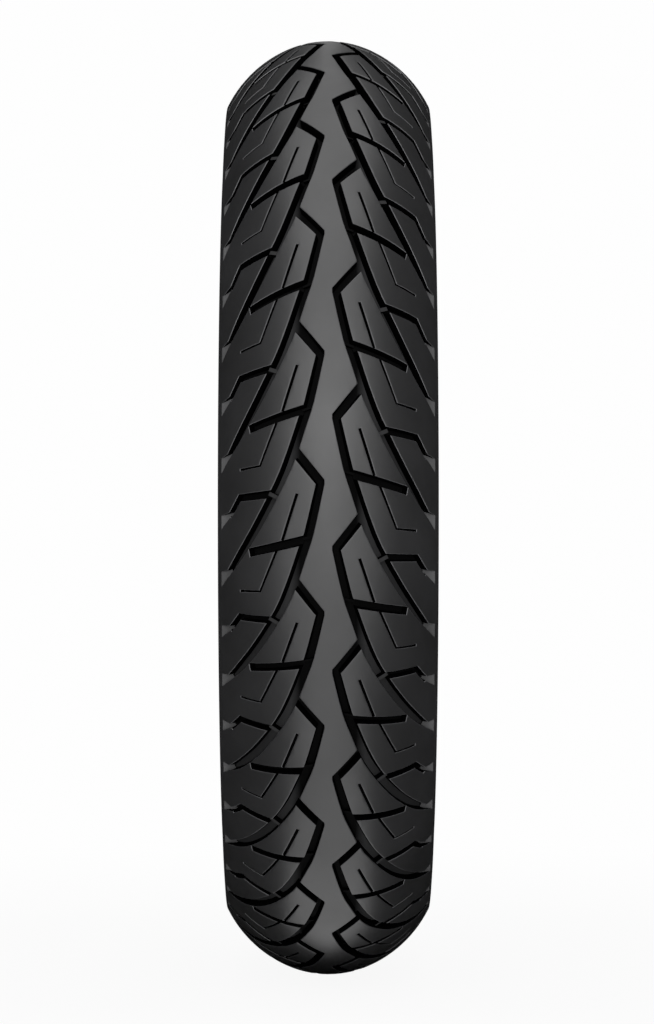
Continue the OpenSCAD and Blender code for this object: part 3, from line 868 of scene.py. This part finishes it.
def rounded(loop, corner=26.0, step=4.0):
    """A closed section, its round stretches cut to steps of some degrees, its corners kept"""
    path = []
    count = len(loop)
    for i in range(count):
        a, b, c, d = (Vector(loop[(i + k) % count]) for k in (-1, 0, 1, 2))
        chord = c - b
        turns = (turn_angle(a, b, c), turn_angle(b, c, d))
        leave = (c - a).normalized() if turns[0] < corner else chord.normalized()
        arrive = (d - b).normalized() if turns[1] < corner else chord.normalized()
        bends = sum(turn for turn in turns if turn < corner)
        cuts = max(1, min(8, math.ceil(bends / 2 / step)))
        for k in range(cuts):
            t = k / cuts
            path.append(tuple(
                b * (2 * t ** 3 - 3 * t * t + 1) + leave * chord.length * (t ** 3 - 2 * t * t + t)
                + c * (3 * t * t - 2 * t ** 3) + arrive * chord.length * (t ** 3 - t * t)
            ))
    return path


def turned(node, name):
    """The section of a CAD node with finer arcs, spun round the wheel axis"""
    steps = 240
    outline = [(radius * MM, width * MM, 0.0) for width, radius in rounded(section_of(node))]
    piece = draw_outline(name, outline)
    bpy.ops.object.mode_set(mode="OBJECT")
    ends = (Vector(outline[0]), Vector(outline[-1]))
    select_where(piece, "VERT", lambda v: min((v.co - end).length for end in ends) < 1e-6)
    bpy.ops.mesh.edge_face_add()
    bpy.ops.mesh.select_all(action="SELECT")
    bpy.ops.mesh.spin(steps=steps, angle=2 * math.pi, center=(0, 0, 0), axis=(0, 1, 0))
    bpy.ops.mesh.select_all(action="SELECT")
    bpy.ops.mesh.remove_doubles(threshold=0.005 * MM)
    bpy.ops.mesh.normals_make_consistent(inside=False)
    bpy.ops.object.mode_set(mode="OBJECT")
    return piece


def soften_ribs(piece, rounding):
    """Rounds the edges that run round the sidewall at its ribs"""
    rib_zone, flattest, sharpest = 16 * MM, math.radians(26), math.radians(80)
    shape = bmesh.new()
    shape.from_mesh(piece.data)
    wide = max(abs(v.co.y) for v in shape.verts)
    rims = {
        frozenset(v.index for v in e.verts)
        for e in shape.edges
        if abs(e.verts[0].co.y) > wide - rib_zone
        and abs(e.verts[0].co.y - e.verts[1].co.y) < 1e-7
        and flattest < e.calc_face_angle(0) < sharpest
        and all(f.normal.y * e.verts[0].co.y > 0 for f in e.link_faces)
    }
    shape.free()
    select_where(piece, "EDGE", lambda e: frozenset(e.vertices) in rims)
    bpy.ops.mesh.bevel(offset=rounding, segments=2, affect="EDGES", clamp_overlap=True)
    bpy.ops.object.mode_set(mode="OBJECT")


class TIRE_OT_sidewalls(bpy.types.Operator):
    """Turn the two sidewalls with their ribs, and the wings between them and the tread"""

    bl_idname = "tire.sidewalls"
    bl_label = "Sidewalls and Wings"

    def execute(self, context):
        sizes, colours = context.scene.tire_sizes, context.scene.tire_colours
        material = rubber(
            "ribbed_side_rubber", colours.side, grain=0.0007, bump=0.2, rough=0.55, specular=0.45
        )[0]
        for side in SIDES:
            wall = turned(f"sidewall_{side}", f"ribbed_sidewall_{side}")
            soften_ribs(wall, sizes.rib_rounding)
            finish_piece(wall, "side_rubber", [material], f"sidewall_{side}")
            wing = turned(f"tread_wing_{side}", f"soft_wing_{side}")
            finish_piece(wing, "side_rubber", [material], f"tread_wing_{side}")
        return {"FINISHED"}


class TIRE_OT_beads(bpy.types.Operator):
    """Turn the rubber strips that sit on the rim: heel, seat and toe"""

    bl_idname = "tire.beads"
    bl_label = "Rim and Toe Strips"

    def execute(self, context):
        material = rubber(
            "smooth_bead_rubber", context.scene.tire_colours.bead, grain=0.0009, bump=0.3,
            rough=0.6, specular=0.4,
        )[0]
        for side in SIDES:
            for strip in ("rim_strip", "toe_strip"):
                piece = turned(f"{strip}_{side}", f"smooth_{strip}_{side}")
                finish_piece(piece, "bead_rubber", [material], f"{strip}_{side}")
        return {"FINISHED"}


class TIRE_OT_liner(bpy.types.Operator):
    """Turn the inner liner, and give it the fine slanted lines of the mould bladder"""

    bl_idname = "tire.liner"
    bl_label = "Inner Liner"

    def execute(self, context):
        line_gap, line_slant, line_height = 0.006, 1.0, 0.0005
        material, tree, shader, toned = rubber(
            "ridged_liner_rubber", context.scene.tire_colours.liner, grain=0.001, bump=0.25,
            rough=0.5, specular=0.45,
        )
        lines = put(tree, "ShaderNodeGroup", node_tree=cord_group())
        lines.inputs["Cord Gap"].default_value = line_gap
        lines.inputs["Slant"].default_value = line_slant
        raised = remap(tree, lines.outputs["Height"], 0.75, 1.0)
        grained = next(n for n in tree.nodes if n.type == "BUMP")
        ridged = put(tree, "ShaderNodeBump", {
            "Height": raised, "Strength": 0.7, "Distance": line_height,
            "Normal": grained.outputs[0],
        })
        tree.links.new(ridged.outputs[0], shader.inputs["Normal"])
        liner = turned("inner_liner", "ridged_liner")
        finish_piece(liner, "liner_rubber", [material], "inner_liner")
        return {"FINISHED"}


def drawn_steel(colours):
    """Plated wire with fine drawing marks"""
    material, tree, shader = new_material("drawn_bead_steel")
    drawn = put(tree, "ShaderNodeGroup", node_tree=grain_group())
    drawn.inputs["Grain Size"].default_value = 0.0004
    drawn.inputs["Cloud Size"].default_value = 0.01
    plated = blend_colours(
        tree, drawn.outputs["Tone"], opaque(colours.steel, 0.7), opaque(colours.steel)
    )
    tree.links.new(plated, shader.inputs["Base Color"])
    tree.links.new(
        remap(tree, drawn.outputs["Height"], 0.3, 0.7, 0.25, 0.4), shader.inputs["Roughness"]
    )
    shader.inputs["Metallic"].default_value = 1.0
    return material


class TIRE_OT_hidden_layers(bpy.types.Operator):
    """Give each layer inside the tire the finish of its own cloth, rubber or wire"""

    bl_idname = "tire.hidden_layers"
    bl_label = "Cloth, Filler and Wires"

    def execute(self, context):
        colours = context.scene.tire_colours
        ply_gap, belt_gap, woven_gap = 0.0011, 0.0014, 0.0009
        plies = cloth("slanted_carcass_cloth", colours.cloth, ply_gap, 1.2)
        crossed = cloth("crossed_carcass_cloth", colours.cloth, ply_gap, -1.2)
        belts = cloth("slanted_breaker_cloth", colours.breaker, belt_gap, 2.4)
        crossed_belts = cloth("crossed_breaker_cloth", colours.breaker, belt_gap, -2.4)
        woven = cloth("woven_bead_cloth", colours.chafer, woven_gap, 1.0)
        base = rubber(
            "base_rubber", colours.side, grain=0.0012, bump=0.2, rough=0.65, specular=0.4
        )[0]
        wires = drawn_steel(colours)
        finishes = {
            "outer_carcass_ply": plies, "inner_carcass_ply": crossed,
            "outer_breaker_ply": belts, "inner_breaker_ply": crossed_belts, "tread_base": base,
        }
        for side in SIDES:
            finishes[f"chafer_{side}"] = finishes[f"bead_wrap_{side}"] = woven
            finishes[f"bead_wires_{side}"] = wires
            for layer in ("breaker_edge_strip", "bead_filler", "bead_insulation"):
                finishes[f"{layer}_{side}"] = base
        for node, material in finishes.items():
            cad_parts[node].material_slots[0].material = material
        return {"FINISHED"}


# ---- Stage


def white_where_seen(tree, surface, seen_share=1.0):
    """A shader that camera, glossy and transmission rays see as plain white"""
    white = 0.99
    path = put(tree, "ShaderNodeLightPath").outputs
    seen = maths(
        tree, "MAXIMUM", maths(tree, "MAXIMUM", path["Is Camera Ray"], path["Is Glossy Ray"]),
        path["Is Transmission Ray"],
    )
    kind = "ShaderNodeBackground" if surface.node.type == "BACKGROUND" else "ShaderNodeEmission"
    plain = put(tree, kind, {"Color": (white, white, white, 1), "Strength": 1.0}).outputs[0]
    share = maths(tree, "MULTIPLY", seen, seen_share)
    return put(tree, "ShaderNodeMixShader", {0: share, 1: surface, 2: plain}).outputs[0]


def floor_finish(radius):
    """Pale paint that turns to plain white away from the tire and keeps its shadow near it"""
    material, tree, shader = new_material("pale_floor")
    place = put(tree, "ShaderNodeTexCoord").outputs["Object"]
    paint = noise(tree, place, 3.0)
    base = bpy.context.scene.tire_colours.floor
    painted = blend_colours(tree, paint, opaque(base, 0.985), opaque(base, 1.0))
    tree.links.new(painted, shader.inputs["Base Color"])
    tree.links.new(remap(tree, paint, 0, 1, 0.85, 0.95), shader.inputs["Roughness"])
    shader.inputs["Specular IOR Level"].default_value = 0.0
    far = put(tree, "ShaderNodeVectorMath", {0: place}, operation="LENGTH").outputs["Value"]
    white_near, white_far = 0.93, 1.0
    whitened = remap(tree, far, radius * 1.2, radius * 3.0, white_near, white_far)
    seen = white_where_seen(tree, shader.outputs[0], whitened)
    tree.links.new(seen, tree.nodes["Material Output"].inputs["Surface"])
    return material


def lay_floor(ground, radius):
    """A round pale floor with some thickness, its top where the tire stands"""
    reach, thick = 6, 0.02
    deselect()
    bpy.ops.mesh.primitive_circle_add(
        vertices=96, radius=reach, fill_type="NGON", location=(0, 0, ground)
    )
    floor = bpy.context.object
    floor.name = "floor"
    edit(floor, "FACE")
    bpy.ops.mesh.select_all(action="SELECT")
    bpy.ops.mesh.extrude_region_move(TRANSFORM_OT_translate={"value": (0, 0, -thick)})
    bpy.ops.mesh.select_all(action="SELECT")
    bpy.ops.mesh.normals_make_consistent(inside=False)
    deselect()
    floor.data.materials.append(floor_finish(radius))


def dark_cards(ground):
    """Cards at both sides, with slots above and below the middle, that only reflections show"""
    back, front, side = -1.25, 0.65, 0.42
    low, high = ground + 0.0005, 0.72
    slot_above = 0.03
    outlines = {
        "side_card": [
            (back, side, low), (front, side, low), (front, side, high), (back, side, high),
        ],
        "back_card": [
            (back, side, low), (back, 0, low), (back, slot_above, high), (back, side, high),
        ],
        "roof_card": [
            (back, side, high), (front, side, high), (front, 0.41, high),
            (-0.05, 0.29, high), (-0.32, slot_above, high), (back, slot_above, high),
        ],
        "low_card": [
            (back, side, low), (front, side, low), (front, 0.22, low),
            (0.25, 0.09, low), (0.135, 0.05, low), (0.115, 0, low), (back, 0, low),
        ],
    }
    pieces = []
    for name, outline in outlines.items():
        pieces.append(draw_outline(name, outline))
        bpy.ops.mesh.edge_face_add()
        bpy.ops.object.mode_set(mode="OBJECT")
    cards = join(pieces, "dark_cards")
    apply_modifier(cards, "MIRROR", use_axis=(False, True, False))
    material, tree, shader = new_material("dark_card")
    shader.inputs["Base Color"].default_value = (0.004, 0.004, 0.004, 1)
    shader.inputs["Specular IOR Level"].default_value = 0.0
    cards.data.materials.append(material)
    cards.visible_camera = cards.visible_diffuse = cards.visible_shadow = False
    cards.visible_transmission = cards.visible_volume_scatter = False


def lamp(name, raised, turned_by, distance, size, watts):
    """An area lamp that looks at the tire, raised and turned by degrees from its front"""
    deselect()
    up, turn = math.radians(raised), math.radians(turned_by)
    place = distance * Vector((
        math.cos(up) * math.cos(turn), math.cos(up) * math.sin(turn), math.sin(up),
    ))
    bpy.ops.object.light_add(type="AREA", location=place)
    made = bpy.context.object
    made.name = name
    made.data.shape = "RECTANGLE"
    made.data.size, made.data.size_y = size
    made.data.energy = watts
    made.rotation_euler = (-place).to_track_quat("-Z", "Y").to_euler()


def hang_lamps():
    """Soft boxes from the front over the top, and a weak one at each side"""
    square, wide, tall = (1.6, 1.6), (3.2, 1.4), (1.4, 2.0)
    lamp("front_strip", 4, 0, 3.35, square, watts=11)
    lamp("upper_softbox", 30, 0, 3.2, wide, watts=15)
    lamp("high_softbox", 55, 0, 3.2, wide, watts=3)
    lamp("top_softbox", 80, 0, 3.1, wide, watts=8)
    lamp("left_softbox", 12, -58, 3.2, tall, watts=2)
    lamp("right_softbox", 12, 58, 3.2, tall, watts=1)


def dim_studio():
    """A world that lights the tire dimly and is seen as white"""
    world = bpy.data.worlds.new("studio")
    world.use_nodes = True
    tree = world.node_tree
    dim = tree.nodes["Background"]
    dim.inputs["Color"].default_value = (0.7, 0.7, 0.7, 1)
    seen = white_where_seen(tree, dim.outputs[0])
    tree.links.new(seen, tree.nodes["World Output"].inputs["Surface"])
    return world


def set_camera(radius):
    """The camera in front of the tread, a little above the axle, far off with a long lens"""
    distance, raised, dip = 9.5757 * radius, 0.011177, 0.000952
    aside = -0.00085
    sensor, lens = 36, 156.20625
    nearest, farthest = 0.05, 50
    place = Vector((distance * math.cos(raised), aside, distance * math.sin(raised)))
    aim = Vector((0, aside, -distance * dip))
    bpy.ops.object.camera_add(location=place)
    camera = bpy.context.object
    camera.name = "front_camera"
    camera.rotation_euler = (aim - place).to_track_quat("-Z", "Y").to_euler()
    camera.data.sensor_width = sensor
    camera.data.lens = lens
    camera.data.clip_start, camera.data.clip_end = nearest, farthest
    return camera


class TIRE_OT_stage(bpy.types.Operator):
    """Make the floor, the dark cards, the lamps, the world and the camera"""

    bl_idname = "tire.stage"
    bl_label = "Stage, Lamps and Camera"

    def execute(self, context):
        scene = context.scene
        ground, radius = CAD_BOX[0].z, CAD_BOX[1].z
        lay_floor(ground, radius)
        dark_cards(ground)
        hang_lamps()
        scene.world = dim_studio()
        scene.camera = set_camera(radius)
        scene.view_settings.view_transform = "Standard"
        return {"FINISHED"}


class TIRE_PT_panel(bpy.types.Panel):
    """Sizes, colours and the steps that build the tire"""

    bl_idname = "TIRE_PT_panel"
    bl_label = "Motorcycle Tire"
    bl_space_type = "VIEW_3D"
    bl_region_type = "UI"
    bl_category = "Tire"

    def draw(self, context):
        for values in (context.scene.tire_sizes, context.scene.tire_colours):
            for key in type(values).__annotations__:
                self.layout.prop(values, key)
        for step in STEPS:
            self.layout.operator(step.bl_idname)


STEPS = (
    TIRE_OT_tread, TIRE_OT_sidewalls, TIRE_OT_beads, TIRE_OT_liner, TIRE_OT_hidden_layers,
    TIRE_OT_stage,
)
CLASSES = (TireSizes, TireColours, *STEPS, TIRE_PT_panel)


def register():
    for cls in CLASSES:
        bpy.utils.register_class(cls)
    bpy.types.Scene.tire_sizes = bpy.props.PointerProperty(type=TireSizes)
    bpy.types.Scene.tire_colours = bpy.props.PointerProperty(type=TireColours)


def unregister():
    del bpy.types.Scene.tire_sizes, bpy.types.Scene.tire_colours
    for cls in reversed(CLASSES):
        bpy.utils.unregister_class(cls)


def main():
    register()
    bpy.ops.tire.tread()
    bpy.ops.tire.sidewalls()
    bpy.ops.tire.beads()
    bpy.ops.tire.liner()
    bpy.ops.tire.hidden_layers()
    bpy.ops.tire.stage()
    deselect()


if __name__ == "__main__":
    main()
